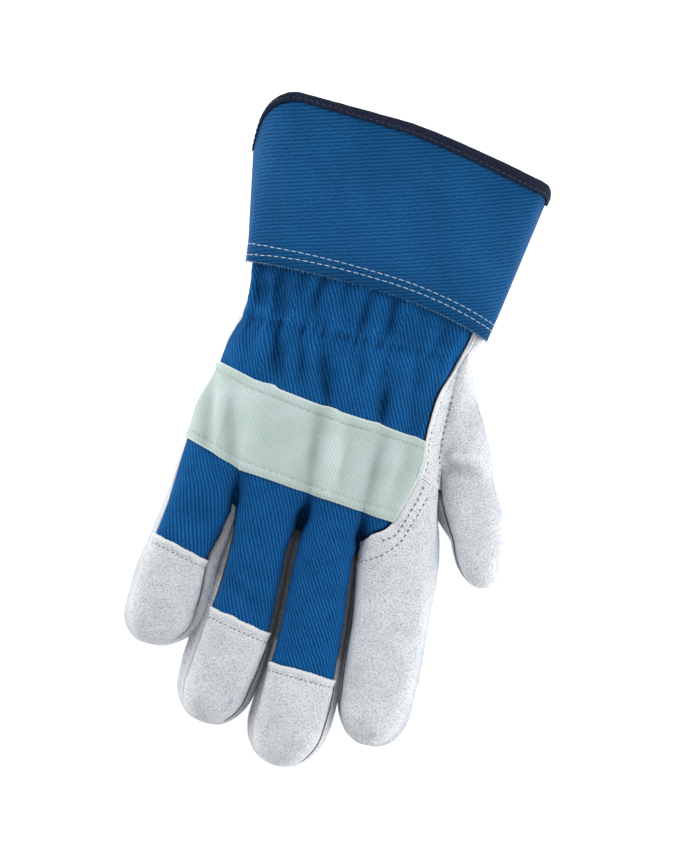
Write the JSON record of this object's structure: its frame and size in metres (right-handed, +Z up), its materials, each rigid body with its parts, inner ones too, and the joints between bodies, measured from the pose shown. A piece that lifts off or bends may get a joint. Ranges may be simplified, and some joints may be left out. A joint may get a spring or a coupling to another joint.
{
  "type": "work glove",
  "caption": "Right-hand work glove lying on its palm: split leather palm and fingertips, cotton back, knuckle strap and a stiff flared cuff with a bound edge.",
  "frame": {"origin": "on the surface that the glove rests on, under the middle of the palm", "axes": "+Z up out of the back of the hand, +Y from the fingertips towards the cuff, +X towards the thumb"},
  "size_m": [0.1509, 0.274, 0.0459],
  "materials": {
    "cotton_twill": "mid-blue cotton twill, matt",
    "split_leather": "light grey split leather, napped and mottled",
    "strap_webbing": "pale green-grey woven strap, slightly glossy",
    "coated_twill": "blue stiffened twill, matt",
    "binding_tape": "navy cotton tape"
  },
  "bodies": {
    "root": {"back_cloth": "cotton_twill", "little_cap": "split_leather", "ring_cap": "split_leather", "middle_cap": "split_leather", "side_band": "split_leather", "index_back": "split_leather", "fork_little_ring": "split_leather", "fork_ring_middle": "split_leather", "fork_middle_index": "split_leather", "palm_leather": "split_leather", "thumb_back": "split_leather", "thumb_front": "split_leather", "knuckle_strap": "strap_webbing", "cuff": "coated_twill", "cuff_binding": "binding_tape"}
  },
  "joints": []
}
